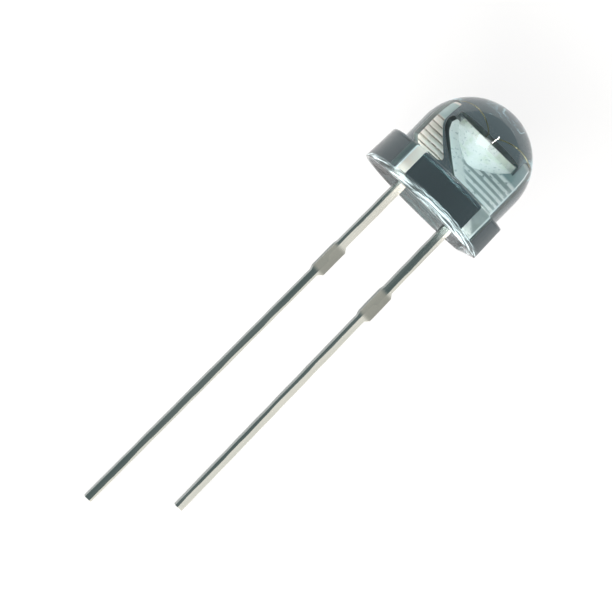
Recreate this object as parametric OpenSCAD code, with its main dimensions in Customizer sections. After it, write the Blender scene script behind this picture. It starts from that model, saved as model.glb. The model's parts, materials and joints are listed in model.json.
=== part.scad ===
// Through hole LED: a clear epoxy lens cast round two stamped leads.
// Sizes are in millimetres. Each shape is drawn in the LED's own frame, with
// z up the lens axis, z = 0 on the flange rim and the cathode on the +x side,
// and is then laid down the way a loose LED comes to rest on a table.

/* [Lens] */
// Diameter of the round barrel and of the dome
barrel_d = 4.96; // [4.8:0.02:5.1]
// Height of the flange
flange_h = 1.57; // [1.3:0.05:1.9]
// Diameter of the flange at its rim
flange_d = 6.08; // [5.9:0.02:6.4]
// Slope of the flange wall, in degrees
flange_draft = 2.5; // [1:0.1:4]
// Radius along the top edge of the flange
flange_edge_r = 0.12; // [0.06:0.01:0.2]
// Height of the widest part of the dome above the rim
dome_z = 2.74; // [2.6:0.02:3.0]
// Distance from the axis to the flat that marks the cathode
cathode_flat = 2.53; // [2.5:0.01:2.75]
// Depth of the hollow the epoxy leaves in the underside
hollow_depth = 0.6; // [0.3:0.05:0.8]
// Width of the level land between the hollow and the rim
rim_land = 0.1; // [0.06:0.01:0.2]
// Reach of the epoxy that clings to each lead below the hollow
cling_h = 0.3; // [0.1:0.02:0.4]
// Width of that epoxy beside the lead where it meets the hollow
cling_w = 0.28; // [0.15:0.01:0.35]

/* [Leads outside] */
// Distance between the two lead centres
lead_pitch = 2.54; // [2.5:0.01:2.6]
// Width of a lead between the tab and the lens
lead_w = 0.39; // [0.36:0.01:0.46]
// Width of the anode lead below the tab
anode_low_w = 0.32; // [0.3:0.01:0.38]
// Width of the cathode lead below the tab, where more solder stayed on it
cathode_low_w = 0.35; // [0.3:0.01:0.38]
// Thickness of the leads
lead_t = 0.44; // [0.36:0.01:0.48]
// Radius along the edges of a lead
lead_edge_r = 0.06; // [0.03:0.01:0.1]
// Angle each lead leans outward, in degrees
lead_splay = 0.5; // [0:0.1:1]
// Length of the anode lead below the rim
anode_len = 17.25; // [12:0.25:24]
// Length of the cathode lead below the rim
cathode_len = 15.05; // [10:0.25:22]
// Distance from the rim to the middle of the tabs
tab_z = 3.95; // [3:0.05:5]
// Length of the widest part of a tab
tab_len = 1.2; // [0.8:0.05:1.6]
// Length of the slope at each end of a tab
tab_slope = 0.18; // [0.1:0.01:0.3]
// Width of a tab
tab_w = 0.56; // [0.5:0.01:0.7]
// Distance each tab is set over toward the cathode side
tab_shift = 0.05; // [0:0.01:0.08]

/* [Anode inside] */
// Height of the lower edge of the anode flag
flag_z = 1.69; // [1.6:0.01:1.8]
// Outer edge of the flag and of the post above it, from the axis
flag_out_x = 1.86; // [1.75:0.01:1.95]
// Height of the corner where the slanted edge of the flag starts
flag_tip_z = 1.94; // [1.88:0.01:2.05]
// Distance from the axis to that corner
flag_tip_x = 0.58; // [0.5:0.01:0.7]
// Height where the slanted edge meets the post
flag_top_z = 3.02; // [2.9:0.01:3.1]
// Width of the anode post
anode_post_w = 0.4; // [0.34:0.01:0.46]
// Height of the top of the anode post
anode_post_z = 3.8; // [3.7:0.01:3.9]

/* [Cathode inside] */
// Height of the lower edge of the plate that carries the cup
plate_z = 1.66; // [1.6:0.01:1.8]
// Distance from the axis to the lower corner of the plate
plate_low_x = 0.04; // [0:0.01:0.2]
// Reach of the plate beyond the axis on the anode side
plate_reach = 1.2; // [1.1:0.01:1.24]
// Width of the cathode post
cathode_post_w = 0.37; // [0.3:0.01:0.4]
// Height of the top of the cathode post
cathode_post_z = 3.74; // [3.65:0.01:3.85]
// Height of the cup rim
cup_rim_z = 3.47; // [3.4:0.01:3.55]
// Diameter over the cup rim
cup_d = 2.07; // [1.9:0.01:2.1]
// Height of the straight band below the cup rim
cup_band_h = 0.23; // [0.15:0.01:0.3]
// Diameter of the lower end of the cone under the cup
cone_end_d = 0.42; // [0.38:0.01:0.6]
// Diameter of the mouth of the reflector
mouth_d = 1.86; // [1.6:0.01:1.88]
// Diameter of the reflector floor
floor_d = 0.94; // [0.8:0.01:1.1]
// Depth of the reflector
cup_depth = 0.45; // [0.35:0.01:0.55]

/* [Coined grooves] */
// Number of grooves across each flat part
groove_count = 6; // [3:1:6]
// Height of the lowest groove
groove_z = 1.8; // [1.78:0.01:1.84]
// Distance from one groove to the next
groove_pitch = 0.243; // [0.2:0.001:0.25]
// Depth of a groove
groove_depth = 0.035; // [0.02:0.005:0.05]

/* [Die and wires] */
// Side of the square die
die_w = 0.36; // [0.28:0.01:0.42]
// Thickness of the die
die_t = 0.12; // [0.08:0.01:0.16]
// Diameter of the bond wires
wire_d = 0.034; // [0.03:0.002:0.05]
// Diameter of the ball where a wire is bonded to the die
ball_d = 0.09; // [0.08:0.005:0.11]
// Distance of each ball from the middle of the die
ball_x = 0.12; // [0.09:0.005:0.13]
// Diameter of the foot where a wire is bonded to a post
foot_d = 0.11; // [0.09:0.005:0.14]
// Thickness of that foot
foot_t = 0.014; // [0.012:0.001:0.02]
// Height the anode wire climbs before its knee
anode_rise = 0.42; // [0.3:0.01:0.5]
// Lean of the anode wire just after the knee, in degrees from upright
anode_turn = 48; // [40:1:60]
// Height the cathode wire climbs before its knee
cathode_rise = 0.46; // [0.35:0.01:0.5]
// Lean of the cathode wire just after the knee, in degrees from upright
cathode_turn = 58; // [45:1:65]

/* [Hidden] */
$fn = 64;

lead_x = lead_pitch / 2;
flange_r = flange_d / 2;
barrel_r = barrel_d / 2;
cup_r = cup_d / 2;

// The hollow is part of a ball whose edge runs along the inside of the land.
hollow_edge_r = flange_r - rim_land;
hollow_r = (pow(hollow_edge_r, 2) + pow(hollow_depth, 2)) / (2 * hollow_depth);

// The centre of the flange edge radius touches both the wall and the top.
edge_c = flange_r - (flange_edge_r + (flange_h - flange_edge_r) * sin(flange_draft)) / cos(flange_draft);

cup_floor_z = cup_rim_z - cup_depth;
die_top_z = cup_floor_z + die_t;
anode_post_x = -flag_out_x + anode_post_w / 2;
cathode_post_x = lead_x + lead_w / 2 - cathode_post_w / 2;

// The LED rests on both lead tips and on one point of the flange rim. In its
// own frame the table is the plane y = c + a x + b z, found by repeating the
// three contact conditions until they agree.
tip_anode_x = -lead_x - anode_len * sin(lead_splay);
tip_cathode_x = lead_x + cathode_len * sin(lead_splay);
function rim_reach(a) = flange_r * sqrt(1 + a * a);
function tip_reach(a, w) = (w / 2 - lead_edge_r) * abs(a) + lead_t / 2 - lead_edge_r
    + lead_edge_r * sqrt(1 + a * a);
function anode_drop(a) = rim_reach(a) - tip_reach(a, anode_low_w);
function cathode_drop(a) = rim_reach(a) - tip_reach(a, cathode_low_w);
function next_b(a) = (cathode_drop(a) * tip_anode_x - anode_drop(a) * tip_cathode_x)
    / (cathode_len * tip_anode_x - anode_len * tip_cathode_x);
function table_a(n, a) = n == 0 ? a
    : table_a(n - 1, (next_b(a) * cathode_len - cathode_drop(a)) / tip_cathode_x);
rest_a = table_a(12, -0.1);
rest_b = next_b(rest_a);
rest_roll = atan(-rest_a);
rest_pitch = atan(rest_b / sqrt(1 + rest_a * rest_a));
rest_h = rim_reach(rest_a) / sqrt(1 + rest_a * rest_a + rest_b * rest_b);

// These four lines centre the resting LED over the origin.
far_x = dome_z * cos(rest_pitch) + barrel_r;
tip_rise = (anode_low_w / 2 - tip_anode_x) * sin(rest_roll) + lead_t / 2 * cos(rest_roll);
near_x = -anode_len * cos(rest_pitch) - tip_rise * sin(rest_pitch);
flat_y = cathode_flat * cos(rest_roll) + sqrt(pow(flange_r, 2) - pow(cathode_flat, 2)) * sin(rest_roll);

module at_rest() {
    translate([-(far_x + near_x) / 2, -(flange_r - flat_y) / 2, rest_h])
        rotate([0, -rest_pitch, 0])
            rotate([rest_roll - 90, 0, 0])
                rotate([0, 90, 0])
                    children();
}

// A flat outline drawn in x and z, given the thickness of the sheet.
module stamped(t) {
    rotate([90, 0, 0])
        linear_extrude(height = t, center = true)
            children();
}

// The outside of the lens, solid right through.
module lens_outside() {
    difference() {
        union() {
            rotate_extrude()
                union() {
                    polygon([
                        [0, 0],
                        [flange_r, 0],
                        [edge_c + flange_edge_r * cos(flange_draft),
                            flange_h - flange_edge_r + flange_edge_r * sin(flange_draft)],
                        [edge_c, flange_h - flange_edge_r],
                        [edge_c, flange_h],
                        [0, flange_h]
                    ]);
                    intersection() {
                        translate([edge_c, flange_h - flange_edge_r])
                            circle(r = flange_edge_r, $fn = 32);
                        translate([edge_c, flange_h - flange_edge_r])
                            square(2 * flange_edge_r);
                    }
                }
            translate([0, 0, flange_h / 2])
                cylinder(r = barrel_r, h = dome_z - flange_h / 2);
            translate([0, 0, dome_z])
                sphere(r = barrel_r);
        }
        translate([cathode_flat, -flange_d, -1])
            cube([flange_d, 2 * flange_d, flange_h + 1]);
        intersection() {
            translate([0, 0, hollow_depth - hollow_r])
                sphere(r = hollow_r, $fn = 48);
            translate([-flange_d, -flange_d, -flange_d])
                cube([flange_d + cathode_flat - rim_land, 2 * flange_d, 2 * flange_d]);
        }
    }
}

// Epoxy drawn down along one lead by its own surface.
module lead_cling(x) {
    translate([x, 0, hollow_depth - cling_h])
        cylinder(r1 = lead_w / 2 + 0.08, r2 = lead_w / 2 + cling_w, h = cling_h);
}

module lens_cast() {
    union() {
        lens_outside();
        lead_cling(-lead_x);
        lead_cling(lead_x);
    }
}

// A length of lead with eased edges, its top end at z = 0.
module lead_bar(w, len) {
    translate([0, 0, -len])
        linear_extrude(height = len)
            union() {
                square([w - 2 * lead_edge_r, lead_t], center = true);
                square([w, lead_t - 2 * lead_edge_r], center = true);
                for (sx = [-1, 1], sy = [-1, 1])
                    translate([sx * (w / 2 - lead_edge_r), sy * (lead_t / 2 - lead_edge_r)])
                        circle(r = lead_edge_r, $fn = 32);
            }
}

// The outside part of one lead: upper bar, tab and lower bar.
module lead_outside(len, low_w) {
    lead_bar(lead_w, tab_z);
    translate([0, 0, -tab_z])
        lead_bar(low_w, len - tab_z);
    translate([tab_shift, 0, -tab_z])
        stamped(lead_t)
            polygon([
                [-tab_w / 2, -tab_len / 2],
                [-tab_w / 2, tab_len / 2],
                [-lead_w / 2 - tab_shift + 0.02, tab_len / 2 + tab_slope],
                [lead_w / 2 - tab_shift - 0.02, tab_len / 2 + tab_slope],
                [tab_w / 2, tab_len / 2],
                [tab_w / 2, -tab_len / 2],
                [low_w / 2 - tab_shift - 0.02, -tab_len / 2 - tab_slope],
                [-low_w / 2 - tab_shift + 0.02, -tab_len / 2 - tab_slope]
            ]);
}

// A post with a rounded top, standing from z0 to z1.
module post_outline(x, w, z0, z1) {
    translate([x - w / 2, z0])
        square([w, z1 - z0 - w / 4]);
    translate([x - w / 4, z0])
        square([w / 2, z1 - z0]);
    for (s = [-1, 1])
        translate([x + s * w / 4, z1 - w / 4])
            circle(r = w / 4, $fn = 32);
}

// Grooves coined across both faces of the flat parts inside the lens.
module grooves(x0, x1) {
    side = groove_depth * sqrt(2);
    for (i = [0 : groove_count - 1], s = [-1, 1])
        translate([x0, s * lead_t / 2, groove_z + i * groove_pitch])
            rotate([45, 0, 0])
                translate([0, -side / 2, -side / 2])
                    cube([x1 - x0, side, side]);
}

module anode_shape() {
    difference() {
        union() {
            stamped(lead_t)
                union() {
                    translate([-lead_x - lead_w / 2, 0])
                        square([lead_w, flag_z + 0.3]);
                    polygon([
                        [-flag_out_x, flag_z + 0.25],
                        [-flag_out_x + 0.3, flag_z],
                        [-flag_tip_x - 0.14, flag_z],
                        [-flag_tip_x, flag_z + 0.12],
                        [-flag_tip_x, flag_tip_z],
                        [-flag_out_x + anode_post_w, flag_top_z],
                        [-flag_out_x, flag_top_z]
                    ]);
                    post_outline(anode_post_x, anode_post_w, flag_top_z - 0.4, anode_post_z);
                }
            translate([-lead_x, 0, 0])
                rotate([0, lead_splay, 0])
                    lead_outside(anode_len, anode_low_w);
        }
        grooves(-2.2, -0.3);
    }
}

module cathode_shape() {
    difference() {
        union() {
            stamped(lead_t)
                union() {
                    translate([lead_x - lead_w / 2, 0])
                        square([lead_w, plate_z + 0.3]);
                    polygon([
                        [plate_low_x, plate_z],
                        [lead_x + lead_w / 2, plate_z],
                        [lead_x + lead_w / 2, cup_rim_z - cup_band_h],
                        [-plate_reach + 0.06, cup_rim_z - cup_band_h + 0.06],
                        [-plate_reach, cup_rim_z - cup_band_h - 0.1],
                        [-plate_reach + 0.1, cup_rim_z - cup_band_h - 0.3],
                        [-0.56, plate_z + 0.62]
                    ]);
                    post_outline(cathode_post_x, cathode_post_w, plate_z + 0.5, cathode_post_z);
                }
            translate([0, 0, cup_rim_z - cup_band_h])
                cylinder(r = cup_r, h = cup_band_h);
            translate([0, 0, cup_rim_z - cup_band_h - (cup_r - cone_end_d / 2)])
                cylinder(r1 = cone_end_d / 2, r2 = cup_r, h = cup_r - cone_end_d / 2);
            translate([lead_x, 0, 0])
                rotate([0, -lead_splay, 0])
                    lead_outside(cathode_len, cathode_low_w);
        }
        translate([0, 0, cup_floor_z])
            cylinder(r1 = floor_d / 2, r2 = mouth_d / 2 + (mouth_d - floor_d) / 2 * 0.5, h = cup_depth * 1.5);
        grooves(0.25, 2);
    }
}

module die_shape() {
    translate([-die_w / 2, -die_w / 2, cup_floor_z])
        cube([die_w, die_w, die_t]);
}

// A wire from a ball on the die, straight up to a knee, then over one wide
// arc to a foot on a post to the right of it. The arc is the only one that
// leaves the knee at the given lean and ends on the foot.
module bond_wire(x0, rise, turn, xt, zt) {
    pz = die_top_z + rise;
    tz = zt + foot_t / 2;
    chord = sqrt(pow(xt - x0, 2) + pow(tz - pz, 2));
    half_turn = 90 - turn - atan2(tz - pz, xt - x0);
    arc_r = chord / (2 * sin(half_turn));
    difference() {
        union() {
            translate([x0, 0, die_top_z])
                cylinder(d = wire_d, h = rise, $fn = 24);
            translate([x0, 0, pz])
                sphere(d = wire_d * 1.2, $fn = 24);
            translate([x0 + arc_r * cos(turn), 0, pz - arc_r * sin(turn)])
                rotate([90, 0, 0])
                    rotate([0, 0, 180 - turn - 2 * half_turn])
                        rotate_extrude(angle = 2 * half_turn, $fn = 96)
                            translate([arc_r, 0])
                                circle(d = wire_d, $fn = 24);
            translate([xt, 0, zt])
                cylinder(d = foot_d, h = foot_t, $fn = 32);
            translate([x0, 0, die_top_z + ball_d * 0.3])
                sphere(d = ball_d, $fn = 32);
        }
        translate([xt - 0.3, -0.3, zt - 0.6])
            cube([0.6, 0.6, 0.6]);
        translate([x0 - 0.1, -0.1, die_top_z - 0.2])
            cube([0.2, 0.2, 0.2]);
    }
}

module anode_wire_shape() {
    mirror([1, 0, 0])
        bond_wire(ball_x, anode_rise, anode_turn, -anode_post_x, anode_post_z);
}

module cathode_wire_shape() {
    bond_wire(ball_x, cathode_rise, cathode_turn, cathode_post_x, cathode_post_z);
}

module lens_body() {
    color([0.82, 0.88, 0.9, 0.35])
        at_rest()
            difference() {
                lens_cast();
                anode_shape();
                cathode_shape();
                die_shape();
                anode_wire_shape();
                cathode_wire_shape();
            }
}

module anode_lead() {
    color([0.78, 0.79, 0.76])
        at_rest()
            anode_shape();
}

module cathode_lead() {
    color([0.78, 0.79, 0.76])
        at_rest()
            cathode_shape();
}

module die() {
    color([0.55, 0.62, 0.55])
        at_rest()
            die_shape();
}

module anode_bond_wire() {
    color([0.85, 0.72, 0.35])
        at_rest()
            anode_wire_shape();
}

module cathode_bond_wire() {
    color([0.85, 0.72, 0.35])
        at_rest()
            cathode_wire_shape();
}

lens_body();
anode_lead();
cathode_lead();
die();
anode_bond_wire();
cathode_bond_wire();
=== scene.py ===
import json
import math

import bmesh
import bpy
from mathutils import Matrix, Vector, noise


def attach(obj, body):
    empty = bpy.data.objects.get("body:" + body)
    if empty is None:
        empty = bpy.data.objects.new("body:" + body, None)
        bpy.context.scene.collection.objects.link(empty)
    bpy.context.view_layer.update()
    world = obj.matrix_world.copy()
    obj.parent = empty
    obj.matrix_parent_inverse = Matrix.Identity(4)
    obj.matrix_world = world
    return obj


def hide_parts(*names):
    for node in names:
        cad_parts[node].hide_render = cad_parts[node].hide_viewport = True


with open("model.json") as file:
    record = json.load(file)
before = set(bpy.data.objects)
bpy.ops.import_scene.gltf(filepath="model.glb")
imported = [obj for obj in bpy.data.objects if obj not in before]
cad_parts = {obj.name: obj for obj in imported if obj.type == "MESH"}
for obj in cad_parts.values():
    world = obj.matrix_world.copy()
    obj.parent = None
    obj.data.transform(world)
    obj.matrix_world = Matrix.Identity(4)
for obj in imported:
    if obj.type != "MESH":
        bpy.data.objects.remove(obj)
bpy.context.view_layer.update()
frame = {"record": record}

# Sizes of the LED in millimetres, in its own frame: z runs up the lens axis
# from the flange rim, x toward the cathode, and the viewer is on the -y side.
MM = 0.001
BARREL_R = 2.48
FLANGE_R = 3.04
FLANGE_H = 1.57
FLANGE_DRAFT = math.radians(2.5)
FLANGE_EDGE_R = 0.12
RIM_EDGE_R = 0.03
BARREL_FOOT_R = 0.08
DOME_Z = 2.74
CATHODE_FLAT = 2.53
HOLLOW_DEPTH = 0.6
RIM_LAND = 0.1
WALL_LEAN = 0.05
RIPPLE_H = 0.05
CLING_Z = 0.3
CLING_W = 0.28
CLING_FALL = 1.7

LEAD_X = 1.27
LEAD_W = 0.39
ANODE_LOW_W = 0.32
CATHODE_LOW_W = 0.35
LEAD_T = 0.44
LEAD_EDGE_R = 0.06
LEAD_SPLAY = math.radians(0.5)
ANODE_LEN = 17.25
CATHODE_LEN = 15.05
TAB_Z = 3.95
TAB_LEN = 1.2
TAB_SLOPE = 0.18
TAB_W = 0.56
TAB_SHIFT = 0.05

FLAG_Z = 1.69
FLAG_OUT_X = 1.86
FLAG_TIP_Z = 1.94
FLAG_TIP_X = 0.58
FLAG_TOP_Z = 3.02
FLAG_CORNER_X = 0.14
FLAG_CORNER_Z = 0.12
FLAG_HEEL_X = 0.3
FLAG_HEEL_Z = 0.25
ANODE_POST_W = 0.4
ANODE_POST_Z = 3.8

PLATE_Z = 1.66
PLATE_LOW_X = 0.04
PLATE_REACH = 1.2
PLATE_CORNER = 0.06
PLATE_EAR_LOW = 0.1
SLANT_IN = 0.1
SLANT_DOWN = 0.3
CATHODE_POST_W = 0.37
CATHODE_POST_Z = 3.74
CUP_RIM_Z = 3.47
CUP_R = 1.035
CUP_BAND_H = 0.23
CUP_LIP_R = 0.03
CONE_END_R = 0.21
MOUTH_R = 0.93
FLOOR_R = 0.47
CUP_DEPTH = 0.45
CUT_CLEAR = 0.5

GROOVE_COUNT = 6
GROOVE_Z = 1.8
GROOVE_PITCH = 0.243
GROOVE_DEPTH = 0.035
GROOVE_MARGIN = 0.02
PLATE_GROOVE_X = 0.1

DIE_W = 0.36
DIE_T = 0.12
DIE_EDGE = 0.02
WIRE_R = 0.017
BALL_R = 0.045
BALL_SQUASH = 0.6
BALL_SINK = 0.55
BALL_X = 0.12
FOOT_R = 0.055
FOOT_TAPER = 0.8
FOOT_T = 0.014
ANODE_RISE = 0.42
ANODE_TURN = math.radians(48)
CATHODE_RISE = 0.46
CATHODE_TURN = math.radians(58)
KNEE_R = 0.06

ROUND_STEPS = 160
WIRE_SIDES = 14
KNEE_STEPS = 8
SWEEP_STEPS = 28
WAVE_STEP = 0.2
WAVE_START_Z = -0.6
WAVE_SIZE = 0.012
WAVE_SEED = 6
MERGE = 0.0005
BAND_Z = CUP_RIM_Z - CUP_BAND_H
CUP_FLOOR_Z = CUP_RIM_Z - CUP_DEPTH
DIE_TOP_Z = CUP_FLOOR_Z + DIE_T
ANODE_POST_X = -FLAG_OUT_X + ANODE_POST_W / 2
LEAD_EDGE_X = LEAD_X + LEAD_W / 2
CATHODE_POST_X = LEAD_EDGE_X - CATHODE_POST_W / 2
SLANT_TOP_X = -PLATE_REACH + SLANT_IN
SLANT_TOP_Z = BAND_Z - SLANT_DOWN
HOLLOW_EDGE_R = FLANGE_R - RIM_LAND
HOLLOW_BALL_R = (HOLLOW_EDGE_R ** 2 + HOLLOW_DEPTH ** 2) / (2 * HOLLOW_DEPTH)
HOLLOW_WALL_X = CATHODE_FLAT - RIM_LAND
FILM_FADE = 0.06

# Looks of the finishes. SMOKE is the colour that the epoxy lets through.
EPOXY_IOR = 1.54
CLEAR = (0.97, 0.99, 1.0, 1.0)
# Painted shade in the far half of the hollow.
PAINTED_SHADE_CLEAR = (0.05, 0.09, 0.09, 1.0)
SMOKE = (0.08, 0.19, 0.22, 1.0)
SMOKE_DENSITY = 560.0
FILM_WHITE = (0.82, 0.95, 1.0, 1.0)
DULL_TIN = (0.3, 0.36, 0.34, 1.0)
# Painted highlight on the leads' side toward the cathode.
PAINTED_HIGHLIGHT_TIN = (0.95, 0.91, 0.82, 1.0)
DRAWN_TIN = (0.5, 0.53, 0.5, 1.0)
PRESSED_TIN = (0.62, 0.59, 0.51, 1.0)
# Painted shade on the leads' side faces outside the lens.
TIN_SIDE_PAINTED_SHADE = (0.2, 0.23, 0.22, 1.0)
PATCH_SILVER = (0.93, 0.93, 0.9, 1.0)
# Painted shade on the side faces inside the lens.
SILVER_SIDE_PAINTED_SHADE = (0.1, 0.13, 0.12, 1.0)
FLAG_SILVER = (1.0, 0.84, 0.73, 1.0)
# Painted shade in the flag's groove lines.
FLAG_GROOVE_PAINTED_SHADE = (0.5, 0.36, 0.27, 1.0)
# Painted shade on the anode's post.
ANODE_POST_PAINTED_SHADE = (0.46, 0.52, 0.5, 1.0)
PLATE_SILVER = (0.4, 0.43, 0.41, 1.0)
# Painted highlights on the plate's groove lines.
PLATE_GROOVE_PAINTED_HIGHLIGHT = (1.0, 0.98, 0.94, 1.0)
# Painted highlight along the plate's slanted edge.
PLATE_EDGE_PAINTED_HIGHLIGHT = (1.0, 0.97, 0.92, 1.0)
# Painted shade on the cathode's post.
CATHODE_POST_PAINTED_SHADE = (0.3, 0.38, 0.38, 1.0)
CONE_WHITE = (1.0, 0.96, 0.91, 1.0)
CONE_YELLOW = (0.86, 0.86, 0.74, 1.0)
CONE_SPECK = (0.4, 0.42, 0.4, 1.0)
EDGE_GLEAM = (1.0, 1.0, 0.97, 1.0)
EDGE_SHADE = (0.2, 0.24, 0.24, 1.0)
GOLD = (0.95, 0.78, 0.36, 1.0)
WORN_GOLD = (1.0, 0.86, 0.5, 1.0)
CHIP_TOP = (0.34, 0.42, 0.38, 1.0)
# Painted highlight on the chip's left and right edges.
CHIP_EDGE_HIGHLIGHT = (0.78, 0.82, 0.72, 1.0)

# How wide a groove's painted line is as a share of the pitch, and where the lines start on the plate.
FLAG_LINE = 0.16
PLATE_LINE = 0.36
PLATE_LINE_X = -0.35
# Where the painted highlight's edge runs on each lead, in x from its middle, above and below the tab.
ANODE_HIGHLIGHT_EDGE = (-0.08, 0.07)
CATHODE_HIGHLIGHT_EDGE = (0.08, -0.05)


# The LED's place on the table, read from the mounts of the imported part.
LEAD_PAIR_Z = -3.0
mounts = {m["name"]: m for m in frame["record"]["mounts"]}
axis_up = Vector(mounts["flange_shoulder"]["axis"])
rim_centre = Vector(mounts["lead_pair"]["pos_m"]) - axis_up * LEAD_PAIR_Z * MM
shoulder = Vector(mounts["flange_shoulder"]["pos_m"])
axis_back = -(shoulder - rim_centre - axis_up * FLANGE_H * MM).normalized()
axis_side = axis_back.cross(axis_up)
turned = Matrix((axis_side, axis_back, axis_up)).transposed()
laid = Matrix.Translation(rim_centre) @ turned.to_4x4() @ Matrix.Scale(MM, 4)


class Shade:
    """One socket of a material, on which arithmetic adds Math nodes."""

    def __init__(self, tree, socket):
        self.tree = tree
        self.socket = socket

    def node(self, kind, settings=None, inputs=None, out=0):
        made = self.tree.nodes.new(kind)
        for name, value in (settings or {}).items():
            setattr(made, name, value)
        for name, value in (inputs or {}).items():
            if isinstance(value, Shade):
                self.tree.links.new(value.socket, made.inputs[name])
            else:
                made.inputs[name].default_value = value
        return Shade(self.tree, made.outputs[out])

    def math(self, operation, *values):
        return self.node("ShaderNodeMath", {"operation": operation}, dict(enumerate(values)))

    def __add__(self, other):
        return self.math("ADD", self, other)

    def __radd__(self, other):
        return self.math("ADD", other, self)

    def __sub__(self, other):
        return self.math("SUBTRACT", self, other)

    def __rsub__(self, other):
        return self.math("SUBTRACT", other, self)

    def __mul__(self, other):
        return self.math("MULTIPLY", self, other)

    def __rmul__(self, other):
        return self.math("MULTIPLY", other, self)

    def __truediv__(self, other):
        return self.math("DIVIDE", self, other)

    def __abs__(self):
        return self.math("ABSOLUTE", self)

    def between(self, low, high):
        """0 below low, 1 above high and a smooth step in between."""
        settings = {"interpolation_type": "SMOOTHSTEP"}
        inputs = {"Value": self, "From Min": low, "From Max": high}
        return self.node("ShaderNodeMapRange", settings, inputs)

    def blend(self, first, second):
        """The colour first where this is 0 and second where it is 1."""
        return self.node("ShaderNodeMix", {"data_type": "RGBA"}, {0: self, 6: first, 7: second}, out=2)


class Finish:
    """A material with a Principled surface, whose patterns read the LED's own millimetres."""

    def __init__(self, name):
        self.material = bpy.data.materials.new(name)
        self.material.use_nodes = True
        self.tree = self.material.node_tree
        self.surface = self.tree.nodes["Principled BSDF"]
        self.output = self.tree.nodes["Material Output"]
        start = Shade(self.tree, None)
        self.place = start.node("ShaderNodeAttribute", {"attribute_name": "own_mm"}, out=1)
        split = start.node("ShaderNodeSeparateXYZ", inputs={0: self.place})
        self.x = split
        self.y = Shade(self.tree, split.socket.node.outputs[1])
        self.z = Shade(self.tree, split.socket.node.outputs[2])

    def set(self, **values):
        for name, value in values.items():
            socket = self.surface.inputs[name.replace("_", " ")]
            if isinstance(value, Shade):
                self.tree.links.new(value.socket, socket)
            else:
                socket.default_value = value

    def scaled(self, x, y, z):
        """The place, scaled so that a pattern is fine one way and long another."""
        return self.place.node("ShaderNodeMapping", inputs={0: self.place, 3: (x, y, z)})

    def noise(self, place, scale, detail=3.0):
        inputs = {"Vector": place, "Scale": scale, "Detail": detail}
        return self.place.node("ShaderNodeTexNoise", inputs=inputs)

    def bump(self, height, depth):
        """Relief of that height pattern, depth in millimetres."""
        inputs = {"Height": height, "Strength": 1.0, "Distance": depth * MM}
        self.set(Normal=self.place.node("ShaderNodeBump", inputs=inputs))


def clear_epoxy():
    """Smoky clear epoxy, with a thin cloudy film drawn into streaks in the hollow underneath, and painted
    shade over the far half of the hollow between the leads.
    """
    finish = Finish("clear_epoxy")
    haze = finish.noise(finish.place, 0.9).between(0.45, 0.8)
    from_axis = finish.x * finish.x + finish.y * finish.y
    film_r = HOLLOW_EDGE_R - FILM_FADE
    in_hollow = 1.0 - finish.z.between(HOLLOW_DEPTH, HOLLOW_DEPTH + FILM_FADE)
    in_hollow = in_hollow * (1.0 - finish.x.between(HOLLOW_WALL_X - 0.01, HOLLOW_WALL_X + 0.02))
    in_hollow = in_hollow * (1.0 - from_axis.between(film_r ** 2, (film_r + FILM_FADE / 2) ** 2))
    # Painted shade: the far half of the hollow between the leads is drawn dark.
    painted_shade = in_hollow * finish.y.between(0.2, 0.9) * (1.0 - abs(finish.x).between(1.2, 2.2))
    ripples = finish.noise(finish.scaled(0.6, 3.0, 5.0), 1.0, 4.0)
    streaks = ripples.between(0.43, 0.62)

    finish.set(Base_Color=painted_shade.blend(CLEAR, PAINTED_SHADE_CLEAR), IOR=EPOXY_IOR, Transmission_Weight=1.0)
    finish.set(Roughness=0.005 + 0.03 * haze + 0.2 * in_hollow)
    finish.bump(0.07 * finish.noise(finish.place, 0.7, 2.0) + in_hollow * ripples, 0.17)
    smoky = {"Color": SMOKE, "Density": SMOKE_DENSITY}
    smoke = finish.place.node("ShaderNodeVolumeAbsorption", inputs=smoky)
    finish.tree.links.new(smoke.socket, finish.output.inputs["Volume"])
    film = finish.place.node("ShaderNodeBsdfTranslucent", inputs={"Color": FILM_WHITE})
    surface = Shade(finish.tree, finish.surface.outputs[0])
    mixed = {0: in_hollow * (0.01 + 0.17 * streaks), 1: surface, 2: film}
    clouded = finish.place.node("ShaderNodeMixShader", inputs=mixed)
    finish.tree.links.new(clouded.socket, finish.output.inputs["Surface"])
    return finish.material


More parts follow.
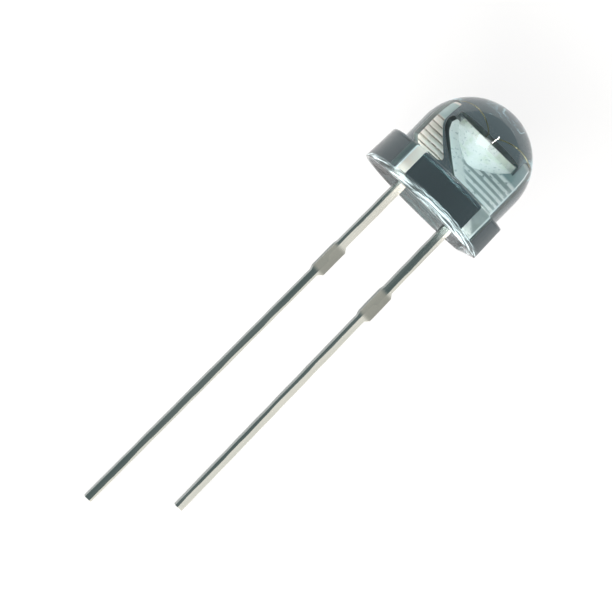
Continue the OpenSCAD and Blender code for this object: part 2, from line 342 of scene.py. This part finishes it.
class LeadFinish(Finish):
    """Solder-dipped tin outside the lens and silver plating inside it, on the lead of one side."""

    def __init__(self, name, side):
        super().__init__(name)
        self.side = side
        self.streaks = self.noise(self.scaled(7.0, 7.0, 0.25), 1.0)
        self.patches = self.noise(self.place, 1.6)
        self.specks = self.noise(self.place, 11.0, 5.0)
        self.across = abs(self.y)
        self.outward = abs(self.x)
        self.side_face = 1.0 - self.across.between(LEAD_T / 2 - 0.05, LEAD_T / 2 - 0.01)

    def tin(self, line_above, line_below):
        """The colour outside the lens, and where the painted highlight is and where the pressed tab.

        The painted highlight covers the side toward the cathode, from a line that jumps at the tab.
        """
        tab = 1.0 - abs(self.z + TAB_Z).between(TAB_LEN / 2 - 0.1, TAB_LEN / 2 + 0.15)
        wander = self.noise(self.scaled(0.0, 0.0, 0.6), 1.0) - 0.5
        splay = self.side * math.tan(LEAD_SPLAY)
        off_middle = self.x - self.side * LEAD_X + splay * self.z + 0.12 * wander
        above_tab = self.z.between(-TAB_Z - 0.1, -TAB_Z + 0.1)
        line = line_below + (line_above - line_below) * above_tab
        # Painted highlight: the side toward the cathode is drawn lighter.
        painted_highlight = (off_middle - line).between(-0.015, 0.015)
        colour = painted_highlight.blend(DULL_TIN, PAINTED_HIGHLIGHT_TIN)
        colour = (0.45 * self.streaks.between(0.4, 0.65)).blend(colour, DRAWN_TIN)
        colour = (tab * (0.75 + 0.3 * self.specks)).blend(colour, PRESSED_TIN)
        # Painted shade: the side faces are drawn dark.
        return self.side_face.blend(colour, TIN_SIDE_PAINTED_SHADE), painted_highlight, tab

    def grooves(self, line, from_x):
        """Where the coined grooves show on the flat faces, as wide as that share of their pitch."""
        turns = (self.z - GROOVE_Z) / GROOVE_PITCH
        off_line = abs(turns - turns.math("ROUND", turns))
        top_z = GROOVE_Z + (GROOVE_COUNT - 1) * GROOVE_PITCH + GROOVE_DEPTH
        lines = (1.0 - off_line.between(line / 2, line)) * self.z.between(GROOVE_Z - 0.1, GROOVE_Z - 0.05)
        lines = lines * (1.0 - self.z.between(top_z, top_z + 0.05)) * self.specks.between(0.3, 0.45)
        on_plate = 1.0 - self.across.between(LEAD_T / 2, LEAD_T / 2 + 0.01)
        return lines * on_plate * self.x.between(from_x, from_x + 0.1)

    def plated(self, flat, grooves, painted_groove_colour):
        """Patchy silver with its groove lines in the colour given: painted shade on the flag, a painted
        highlight on the plate.
        """
        silver = (0.3 * self.patches.between(0.4, 0.65)).blend(flat, PATCH_SILVER)
        return grooves.blend(silver, painted_groove_colour)

    def slant_highlighted(self, silver):
        """A painted highlight: a bright, speckled band along the slanted edge of the cathode's plate."""
        slant = Vector((PLATE_LOW_X - SLANT_TOP_X, PLATE_Z - SLANT_TOP_Z)).normalized()
        from_edge = -slant.y * (self.x - SLANT_TOP_X) + slant.x * (self.z - SLANT_TOP_Z)
        slant_highlight = (1.0 - from_edge.between(0.28, 0.4)) * (1.0 - 0.6 * self.specks.between(0.55, 0.68))
        return slant_highlight.blend(silver, PLATE_EDGE_PAINTED_HIGHLIGHT)

    def post_shaded(self, silver, post_shade_colour, post_top):
        """Painted shade: darker silver on the post, up to just below its top."""
        post = self.z.between(3.0, 3.1) * (1.0 - self.z.between(post_top - 0.14, post_top - 0.06))
        return (post * (self.side * self.x).between(0.7, 0.75)).blend(silver, post_shade_colour)

    def edged(self, silver, edge_top):
        """The cup's cone, painted shade on the side faces, and the gleam and shade down the outer edge.
        """
        cone = self.patches.between(0.45, 0.62).blend(CONE_WHITE, CONE_YELLOW)
        cone = (0.6 * self.specks.between(0.58, 0.7)).blend(cone, CONE_SPECK)
        silver = self.across.between(LEAD_T / 2 + 0.005, LEAD_T / 2 + 0.02).blend(silver, cone)
        in_cup = self.z.between(CUP_FLOOR_Z - 0.07, CUP_FLOOR_Z - 0.02)
        in_cup = in_cup * (1.0 - self.outward.between(CUP_R + 0.005, CUP_R + 0.045))
        # Painted shade: the side faces are drawn dark, except in the cup.
        silver = (self.side_face * (1.0 - in_cup)).blend(silver, SILVER_SIDE_PAINTED_SHADE)
        low = 1.0 - self.z.between(edge_top - 0.1, edge_top)
        gleam = self.outward.between(LEAD_EDGE_X - 0.085, LEAD_EDGE_X - 0.055)
        shade = self.outward.between(LEAD_EDGE_X - 0.025, LEAD_EDGE_X - 0.005)
        silver = (gleam * low).blend(silver, EDGE_GLEAM)
        return (shade * low).blend(silver, EDGE_SHADE)

    def joined(self, tin, silver):
        """The material, with its tin outside the lens and its silver inside."""
        colour, painted_highlight, tab = tin
        inside = self.z.between(0.2, 0.5)
        dull = (0.02 + 0.06 * self.streaks) * painted_highlight * (1.0 - tab)
        self.set(Base_Color=inside.blend(colour, silver))
        self.set(Metallic=1.0 - dull - 0.015 * tab - 0.9 * inside)
        self.set(Roughness=0.16 + 0.16 * self.streaks + 0.15 * tab + 0.3 * inside)
        self.bump(self.streaks * 0.4 + self.specks * 0.3 + 0.2 * tab * self.specks, 0.012)
        return self.material


def anode_tin():
    finish = LeadFinish("anode_tin", -1)
    silver = finish.plated(FLAG_SILVER, finish.grooves(FLAG_LINE, -FLAG_OUT_X - 0.1), FLAG_GROOVE_PAINTED_SHADE)
    silver = finish.post_shaded(silver, ANODE_POST_PAINTED_SHADE, ANODE_POST_Z)
    return finish.joined(finish.tin(*ANODE_HIGHLIGHT_EDGE), finish.edged(silver, FLAG_Z))


def cathode_tin():
    finish = LeadFinish("cathode_tin", 1)
    silver = finish.plated(PLATE_SILVER, finish.grooves(PLATE_LINE, PLATE_LINE_X), PLATE_GROOVE_PAINTED_HIGHLIGHT)
    silver = finish.post_shaded(finish.slant_highlighted(silver), CATHODE_POST_PAINTED_SHADE, CATHODE_POST_Z)
    return finish.joined(finish.tin(*CATHODE_HIGHLIGHT_EDGE), finish.edged(silver, CATHODE_POST_Z))


def gold_wire():
    finish = Finish("gold_wire")
    wear_and_edge_highlight = finish.noise(finish.place, 8.0)
    finish.set(Base_Color=wear_and_edge_highlight.blend(GOLD, WORN_GOLD), Metallic=0.7)
    finish.set(Roughness=0.18 + 0.15 * wear_and_edge_highlight)
    return finish.material


def die_crystal():
    finish = Finish("die_crystal")
    grain = finish.noise(finish.place, 14.0)
    # Painted highlight: the chip's left and right edges are drawn lighter, over a random grain.
    chip_edge_highlight = abs(finish.x).between(0.14, 0.17)
    wear_and_edge_highlight = chip_edge_highlight * 0.6 + grain * 0.3
    finish.set(Base_Color=wear_and_edge_highlight.blend(CHIP_TOP, CHIP_EDGE_HIGHLIGHT))
    finish.set(Roughness=0.15 + 0.2 * grain, Coat_Weight=0.6)
    return finish.material


def arc(centre_r, centre_z, radius, start, end, count):
    """Points of a round stretch of a profile, angles in degrees from the outward direction."""
    turns = [math.radians(start + (end - start) * i / count) for i in range(count + 1)]
    return [(centre_r + radius * math.cos(a), centre_z + radius * math.sin(a)) for a in turns]


def spun(points):
    """A solid turned from a profile that starts and ends on the axis."""
    bm = bmesh.new()
    chain = [bm.verts.new((r, 0, z)) for r, z in points]
    edges = [bm.edges.new(pair) for pair in zip(chain, chain[1:])]
    bmesh.ops.spin(bm, geom=chain + edges, cent=(0, 0, 0), axis=(0, 0, 1),
                   angle=math.tau, steps=ROUND_STEPS, use_merge=True)
    bmesh.ops.remove_doubles(bm, verts=bm.verts, dist=MERGE)
    bmesh.ops.recalc_face_normals(bm, faces=bm.faces)
    return bm


def stamped(outline):
    """A plate of the leads' thickness with that outline in x and z and eased edges."""
    bm = bmesh.new()
    face = bm.faces.new([bm.verts.new((x, -LEAD_T / 2, z)) for x, z in outline])
    pulled = bmesh.ops.extrude_face_region(bm, geom=[face])
    moved = [v for v in pulled["geom"] if isinstance(v, bmesh.types.BMVert)]
    bmesh.ops.translate(bm, verts=moved, vec=(0, LEAD_T, 0))
    bmesh.ops.recalc_face_normals(bm, faces=bm.faces)
    bmesh.ops.bevel(bm, geom=bm.edges[:], offset=LEAD_EDGE_R, offset_type="OFFSET", segments=4,
                    profile=0.5, affect="EDGES", material=-1, clamp_overlap=True)
    return bm


def cut_across(bm, point, normal):
    """Adds an edge loop where a plane crosses the mesh."""
    geom = bm.verts[:] + bm.edges[:] + bm.faces[:]
    bmesh.ops.bisect_plane(bm, geom=geom, dist=MERGE, plane_co=point, plane_no=normal)


def groove(bm, low_x, high_x):
    """Coins the grooves into both faces of a stamped plate."""
    for i in range(GROOVE_COUNT):
        z = GROOVE_Z + i * GROOVE_PITCH
        for shift in (-GROOVE_DEPTH, 0, GROOVE_DEPTH):
            cut_across(bm, (0, 0, z + shift), (0, 0, 1))
        for v in bm.verts:
            if abs(v.co.z - z) < 0.001 and abs(v.co.y) > LEAD_T / 2 - 0.01 and low_x < v.co.x < high_x:
                v.co.y -= math.copysign(GROOVE_DEPTH, v.co.y)


def solder_waves(bm, length):
    """Gives the dipped part of a lead the slightly uneven sides that solder leaves.

    The vector noise starts from the clock unless it is given a seed.
    """
    noise.seed_set(WAVE_SEED)
    steps = int(length / WAVE_STEP)
    for i in range(1, steps):
        cut_across(bm, (0, 0, -length * i / steps), (0, 0, 1))
    for v in bm.verts:
        if v.co.z < WAVE_START_Z:
            wave = noise.noise_vector(Vector((v.co.x * 0.8, v.co.y * 0.8, v.co.z * 1.3)))
            v.co += Vector((wave.x, wave.y, 0)) * WAVE_SIZE


def piece(bm, name, node, material):
    """Makes a finished mesh the piece that stands for a CAD node."""
    mesh = bpy.data.meshes.new(name)
    bm.to_mesh(mesh)
    bm.free()
    return placed(mesh, name, node, material)


def placed(mesh, name, node, material):
    """Lays a mesh in its place on the table, where its pattern still reads the LED's own frame."""
    mesh.name = name
    mesh.shade_smooth()
    mesh.set_sharp_from_angle(angle=math.radians(35))
    own = mesh.attributes.new("own_mm", "FLOAT_VECTOR", "POINT")
    for v in mesh.vertices:
        own.data[v.index].vector = v.co
    mesh.transform(laid)
    mesh.materials.clear()
    mesh.materials.append(material)
    made = bpy.data.objects.new(name, mesh)
    bpy.context.scene.collection.objects.link(made)
    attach(made, "root")
    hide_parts(node)
    return made


def lens():
    """The epoxy: dome, barrel, flange with its flat, and the hollow underneath."""
    drawn_in = (FLANGE_H - FLANGE_EDGE_R) * math.sin(FLANGE_DRAFT)
    edge_c = FLANGE_R - (FLANGE_EDGE_R + drawn_in) / math.cos(FLANGE_DRAFT)
    hollow_half = math.degrees(math.asin(HOLLOW_EDGE_R / HOLLOW_BALL_R))
    profile = arc(0, HOLLOW_DEPTH - HOLLOW_BALL_R, HOLLOW_BALL_R, 90, 90 - hollow_half, 70)
    profile[0] = (0, HOLLOW_DEPTH)
    profile += arc(FLANGE_R - RIM_EDGE_R, RIM_EDGE_R, RIM_EDGE_R, -90, 0, 4)
    profile += arc(edge_c, FLANGE_H - FLANGE_EDGE_R, FLANGE_EDGE_R, math.degrees(FLANGE_DRAFT), 90, 8)
    profile += arc(BARREL_R + BARREL_FOOT_R, FLANGE_H + BARREL_FOOT_R, BARREL_FOOT_R, 270, 180, 6)
    profile += arc(0, DOME_Z, BARREL_R, 0, 90, 72)
    profile[-1] = (0, DOME_Z + BARREL_R)
    bm = spun(profile)

    def on_hollow(v):
        r = math.hypot(v.co.x, v.co.y)
        rise = HOLLOW_DEPTH - HOLLOW_BALL_R + math.sqrt(HOLLOW_BALL_R ** 2 - min(r, HOLLOW_EDGE_R) ** 2)
        return r < HOLLOW_EDGE_R + 0.001 and abs(v.co.z - rise) < 0.002

    for wall_x in (HOLLOW_WALL_X, HOLLOW_WALL_X - WALL_LEAN):
        cut_across(bm, (wall_x, 0, 0), (1, 0, 0))
    for v in [v for v in bm.verts if on_hollow(v)]:
        r = math.hypot(v.co.x, v.co.y)
        round_axis = math.atan2(v.co.y, v.co.x)
        ripple = noise.noise(Vector((round_axis * 5, r * 1.2, 3.0)))
        ripple += 0.5 * noise.noise(Vector((round_axis * 13, r * 1.6, 7.0)))
        v.co.z += RIPPLE_H * ripple * math.sin(math.pi * r / HOLLOW_EDGE_R)
        for side in (-1, 1):
            gap = math.hypot(v.co.x - side * LEAD_X, v.co.y) - LEAD_W / 2
            pull = max(0.0, 1 - max(gap, 0.0) / CLING_W) ** CLING_FALL
            v.co.z += (CLING_Z - v.co.z) * pull
        if v.co.x > HOLLOW_WALL_X - 0.001:
            v.co.z = 0
    cut = bmesh.ops.bisect_plane(bm, geom=bm.verts[:] + bm.edges[:] + bm.faces[:], dist=MERGE,
                                 plane_co=(CATHODE_FLAT, 0, 0), plane_no=(1, 0, 0), clear_outer=True)
    rim = [e for e in cut["geom_cut"] if isinstance(e, bmesh.types.BMEdge)]
    bmesh.ops.edgeloop_fill(bm, edges=rim)
    bmesh.ops.recalc_face_normals(bm, faces=bm.faces)
    return piece(bm, "lens", "lens_body", clear_epoxy())


def lead_sides(lead_x, splay, length, low_w):
    """Left and right edges of the outside part of a lead, from the tip up to the rim."""
    rows = [
        (length, low_w / 2, 0),
        (TAB_Z + TAB_LEN / 2 + TAB_SLOPE, low_w / 2, 0),
        (TAB_Z + TAB_LEN / 2, TAB_W / 2, TAB_SHIFT),
        (TAB_Z - TAB_LEN / 2, TAB_W / 2, TAB_SHIFT),
        (TAB_Z - TAB_LEN / 2 - TAB_SLOPE, LEAD_W / 2, 0),
    ]
    lean = splay * math.tan(LEAD_SPLAY)
    middle = [(lead_x + lean * down + shift, half, -down) for down, half, shift in rows]
    left = [(x - half, z) for x, half, z in middle]
    right = [(x + half, z) for x, half, z in middle]
    return left, right


def rounded_top(x, width, top):
    """The rounded end of a post, from its right side over to its left."""
    corner = width / 4
    points = arc(x + width / 2 - corner, top - corner, corner, 0, 90, 4)
    return points + arc(x - width / 2 + corner, top - corner, corner, 90, 180, 4)


def anode():
    """The longer lead: tab, grooved flag and post, stamped in one."""
    left, right = lead_sides(-LEAD_X, -1, ANODE_LEN, ANODE_LOW_W)
    outline = right + [
        (-LEAD_X + LEAD_W / 2, FLAG_Z),
        (-FLAG_TIP_X - FLAG_CORNER_X, FLAG_Z),
        (-FLAG_TIP_X, FLAG_Z + FLAG_CORNER_Z),
        (-FLAG_TIP_X, FLAG_TIP_Z),
        (-FLAG_OUT_X + ANODE_POST_W, FLAG_TOP_Z),
    ]
    outline += rounded_top(ANODE_POST_X, ANODE_POST_W, ANODE_POST_Z)
    outline += [
        (-FLAG_OUT_X, FLAG_Z + FLAG_HEEL_Z),
        (-FLAG_OUT_X + FLAG_HEEL_X, FLAG_Z),
        (-LEAD_EDGE_X, FLAG_Z),
    ]
    bm = stamped(outline + left[::-1])
    groove(bm, -FLAG_OUT_X + GROOVE_MARGIN, -FLAG_TIP_X)
    solder_waves(bm, ANODE_LEN)
    return piece(bm, "anode", "anode_lead", anode_tin())


def reflector():
    """The cup and the cone under it, turned as one."""
    cone_z = BAND_Z - (CUP_R - CONE_END_R)
    lip_z = CUP_RIM_Z - CUP_LIP_R
    profile = [(0, cone_z), (CONE_END_R, cone_z), (CUP_R, BAND_Z)]
    profile += arc(CUP_R - CUP_LIP_R, lip_z, CUP_LIP_R, 0, 90, 4)
    profile += arc(MOUTH_R + CUP_LIP_R, lip_z, CUP_LIP_R, 90, 150, 3)
    profile += [(FLOOR_R, CUP_FLOOR_Z), (0, CUP_FLOOR_Z)]
    return spun(profile)


def cup_mouth():
    """The room inside the cup, which the plate behind it leaves free."""
    above_z = CUP_RIM_Z + CUT_CLEAR
    profile = [(0, CUP_FLOOR_Z), (FLOOR_R, CUP_FLOOR_Z), (MOUTH_R, CUP_RIM_Z)]
    return spun(profile + [(MOUTH_R, above_z), (0, above_z)])


def shape_only(bm, name):
    """An object that lends its shape to a boolean."""
    mesh = bpy.data.meshes.new(name)
    bm.to_mesh(mesh)
    bm.free()
    made = bpy.data.objects.new(name, mesh)
    bpy.context.scene.collection.objects.link(made)
    return made


def cathode():
    """The shorter lead: tab, grooved plate and post stamped in one, with the cup joined to it."""
    left, right = lead_sides(LEAD_X, 1, CATHODE_LEN, CATHODE_LOW_W)
    outline = right + [(LEAD_EDGE_X, BAND_Z)]
    outline += rounded_top(CATHODE_POST_X, CATHODE_POST_W, CATHODE_POST_Z)
    outline += [
        (LEAD_EDGE_X - CATHODE_POST_W, BAND_Z),
        (-PLATE_REACH + PLATE_CORNER, BAND_Z + PLATE_CORNER),
        (-PLATE_REACH, BAND_Z - PLATE_EAR_LOW),
        (SLANT_TOP_X, SLANT_TOP_Z),
        (PLATE_LOW_X, PLATE_Z),
        (LEAD_X - LEAD_W / 2, PLATE_Z),
    ]
    bm = stamped(outline + left[::-1])
    groove(bm, PLATE_GROOVE_X, LEAD_EDGE_X - GROOVE_MARGIN)
    solder_waves(bm, CATHODE_LEN)
    plate = shape_only(bm, "plate")
    cup = shape_only(reflector(), "cup")
    mouth = shape_only(cup_mouth(), "mouth")
    for operation, other in (("DIFFERENCE", mouth), ("UNION", cup)):
        modifier = plate.modifiers.new(operation.lower(), "BOOLEAN")
        modifier.operation = operation
        modifier.object = other
        modifier.solver = "EXACT"
    ready = plate.evaluated_get(bpy.context.evaluated_depsgraph_get())
    joined = bpy.data.meshes.new_from_object(ready)
    for part in (plate, cup, mouth):
        bpy.data.objects.remove(part)
    return placed(joined, "cathode", "cathode_lead", cathode_tin())


def die():
    """The chip on the cup's floor, its top edges eased."""
    bm = bmesh.new()
    bmesh.ops.create_cube(bm, size=1.0)
    bmesh.ops.scale(bm, verts=bm.verts, vec=(DIE_W, DIE_W, DIE_T))
    bmesh.ops.translate(bm, verts=bm.verts, vec=(0, 0, CUP_FLOOR_Z + DIE_T / 2))
    top = [e for e in bm.edges if all(v.co.z > CUP_FLOOR_Z + DIE_T / 2 for v in e.verts)]
    bmesh.ops.bevel(bm, geom=top, offset=DIE_EDGE, offset_type="OFFSET", segments=2,
                    profile=0.5, affect="EDGES", material=-1)
    return piece(bm, "chip", "die", die_crystal())


def bond_wire(name, node, side, rise, turn, post_x, post_z, material):
    """A gold wire from a ball on the die, up to a knee and over to a foot on a post."""
    bm = bmesh.new()
    start = Matrix.Translation((BALL_X, 0, DIE_TOP_Z))
    ring = bmesh.ops.create_circle(bm, cap_ends=False, radius=WIRE_R, segments=WIRE_SIDES,
                                   matrix=start)["verts"]
    knee_z = DIE_TOP_Z + rise - KNEE_R * math.tan(turn / 2)
    edges = list({e for v in ring for e in v.link_edges})
    pulled = bmesh.ops.extrude_edge_only(bm, edges=edges)["geom"]
    bmesh.ops.translate(bm, verts=[v for v in pulled if isinstance(v, bmesh.types.BMVert)],
                        vec=(0, 0, knee_z - DIE_TOP_Z))
    ring = [g for g in pulled if not isinstance(g, bmesh.types.BMFace)]
    bent = bmesh.ops.spin(bm, geom=ring, cent=(BALL_X + KNEE_R, 0, knee_z), axis=(0, 1, 0),
                          angle=turn, steps=KNEE_STEPS)["geom_last"]
    bend_x = BALL_X + KNEE_R * (1 - math.cos(turn))
    bend_z = knee_z + KNEE_R * math.sin(turn)
    foot_z = post_z + FOOT_T / 2
    slope = math.atan2(foot_z - bend_z, post_x - bend_x)
    half_turn = math.pi / 2 - turn - slope
    sweep_r = math.hypot(post_x - bend_x, foot_z - bend_z) / (2 * math.sin(half_turn))
    centre = (bend_x + sweep_r * math.cos(turn), 0, bend_z - sweep_r * math.sin(turn))
    bmesh.ops.spin(bm, geom=bent, cent=centre, axis=(0, 1, 0), angle=2 * half_turn,
                   steps=SWEEP_STEPS)
    bmesh.ops.remove_doubles(bm, verts=bm.verts, dist=MERGE)
    bmesh.ops.holes_fill(bm, edges=bm.edges[:])
    bmesh.ops.create_cone(bm, cap_ends=True, segments=24, radius1=FOOT_R, radius2=FOOT_R * FOOT_TAPER,
                          depth=FOOT_T, matrix=Matrix.Translation((post_x, 0, post_z + FOOT_T / 2)))
    ball = Matrix.Translation((BALL_X, 0, DIE_TOP_Z + BALL_R * BALL_SINK))
    ball = ball @ Matrix.Diagonal((1, 1, BALL_SQUASH, 1))
    bmesh.ops.create_uvsphere(bm, u_segments=20, v_segments=12, radius=BALL_R, matrix=ball)
    bmesh.ops.scale(bm, verts=bm.verts, vec=(side, 1, 1))
    bmesh.ops.recalc_face_normals(bm, faces=bm.faces)
    return piece(bm, name, node, material)


# The camera stands where the photograph's did. These say where the rim's
# centre shows in a picture of 613 pixels and how the LED is turned in it.
PICTURE = 613
RIM_CENTRE_PX = (421.0, 209.4)
AXIS_LEAN = math.radians(45.5358)
PIXELS_PER_MM = 25.43
VIEW_DISTANCE = 120.0
VIEW_TURN = math.radians(-11)
VIEW_DROP = math.radians(4.2)


def camera():
    """The camera, turned until the rim's centre shows where it does in the photograph."""
    focal = PIXELS_PER_MM * VIEW_DISTANCE
    right_px = RIM_CENTRE_PX[0] - PICTURE / 2
    up_px = PICTURE / 2 - RIM_CENTRE_PX[1]
    along = right_px * math.cos(AXIS_LEAN) + up_px * math.sin(AXIS_LEAN)
    across = right_px * math.sin(AXIS_LEAN) - up_px * math.cos(AXIS_LEAN)
    toward = Vector((math.sin(VIEW_TURN) * math.cos(VIEW_DROP),
                     -math.cos(VIEW_TURN) * math.cos(VIEW_DROP),
                     -math.sin(VIEW_DROP)))
    forward = -toward
    for _ in range(30):
        up = (Vector((0, 0, 1)) - forward * forward.z).normalized()
        side = forward.cross(up)
        sight = (forward * focal + side * across + up * along).normalized()
        forward = (forward - toward - sight).normalized()
    distance = VIEW_DISTANCE * math.sqrt(1 + (across ** 2 + along ** 2) / focal ** 2)
    right = up * math.cos(AXIS_LEAN) + side * math.sin(AXIS_LEAN)
    upward = up * math.sin(AXIS_LEAN) - side * math.cos(AXIS_LEAN)
    data = bpy.data.cameras.new("camera")
    data.sensor_width = 36.0
    data.lens = focal * data.sensor_width / PICTURE
    data.clip_start = 0.01
    data.clip_end = 10.0
    made = bpy.data.objects.new("camera", data)
    axes = Matrix((turned @ right, turned @ upward, turned @ -forward)).transposed()
    made.matrix_world = Matrix.Translation(laid @ (toward * distance)) @ axes.to_4x4()
    bpy.context.scene.collection.objects.link(made)
    bpy.context.scene.camera = made


# The floor and the room. Cameras, mirrors and clear pieces see the floor white,
# and to everything else it is grey.
TABLE_HALF = 3.0
TABLE_GREY = (0.2, 0.2, 0.2, 1.0)
TABLE_WHITE = 0.86
WHITE = (1.0, 1.0, 1.0, 1.0)
ROOM_GREY = (0.55, 0.62, 0.64, 1.0)
ROOM_LIGHT = 0.5


def softbox(name, place, width, height, power, colour):
    """A soft rectangular lamp that faces the LED."""
    data = bpy.data.lights.new(name, "AREA")
    data.shape = "RECTANGLE"
    data.size = width
    data.size_y = height
    data.energy = power
    data.color = colour
    made = bpy.data.objects.new(name, data)
    aim = (Vector() - Vector(place)).to_track_quat("-Z", "Y")
    made.matrix_world = Matrix.Translation(place) @ aim.to_matrix().to_4x4()
    bpy.context.scene.collection.objects.link(made)
    return made


def white_table():
    """Paper that is white to the eye and in reflections, and lit like grey elsewhere."""
    material = bpy.data.materials.new("white_table")
    material.use_nodes = True
    tree = material.node_tree
    surface = tree.nodes["Principled BSDF"]
    surface.inputs["Base Color"].default_value = TABLE_GREY
    surface.inputs["Roughness"].default_value = 0.9
    surface.inputs["Specular IOR Level"].default_value = 0.0
    start = Shade(tree, None)
    seen = start.node("ShaderNodeLightPath")
    rays = seen.socket.node.outputs
    for ray in ("Is Glossy Ray", "Is Transmission Ray"):
        seen = seen.math("MAXIMUM", seen, Shade(tree, rays[ray]))
    white = start.node("ShaderNodeEmission", inputs={"Color": WHITE, "Strength": 1.0})
    mixed = {0: seen * TABLE_WHITE, 1: Shade(tree, surface.outputs[0]), 2: white}
    paper = start.node("ShaderNodeMixShader", inputs=mixed)
    tree.links.new(paper.socket, tree.nodes["Material Output"].inputs["Surface"])
    return material


def studio():
    """A white table in a grey room, a strong lamp on the leads' side and two weak ones over the dome."""
    bm = bmesh.new()
    bmesh.ops.create_grid(bm, x_segments=1, y_segments=1, size=TABLE_HALF)
    mesh = bpy.data.meshes.new("table")
    bm.to_mesh(mesh)
    bm.free()
    mesh.materials.append(white_table())
    table = bpy.data.objects.new("table", mesh)
    bpy.context.scene.collection.objects.link(table)
    room = bpy.data.worlds.new("room")
    room.use_nodes = True
    background = room.node_tree.nodes["Background"]
    background.inputs["Color"].default_value = ROOM_GREY
    background.inputs["Strength"].default_value = ROOM_LIGHT
    bpy.context.scene.world = room
    lead_side = softbox("lead_side", (-0.221, 0.0, 0.117), 0.4, 0.18, 15.0, (1.0, 0.96, 0.91))
    lead_side.visible_glossy = False
    softbox("overhead", (0.117, 0.03, 0.22), 0.1, 0.08, 0.15, (0.97, 0.99, 1.0))
    softbox("strip", (0.183, -0.025, 0.17), 0.01, 0.092, 0.072, (1.0, 1.0, 1.0))
    bpy.context.scene.view_settings.view_transform = "Standard"


lens()
anode()
cathode()
die()
gold = gold_wire()
bond_wire("anode_wire", "anode_bond_wire", -1, ANODE_RISE, ANODE_TURN,
          -ANODE_POST_X, ANODE_POST_Z, gold)
bond_wire("cathode_wire", "cathode_bond_wire", 1, CATHODE_RISE, CATHODE_TURN,
          CATHODE_POST_X, CATHODE_POST_Z, gold)
camera()
studio()
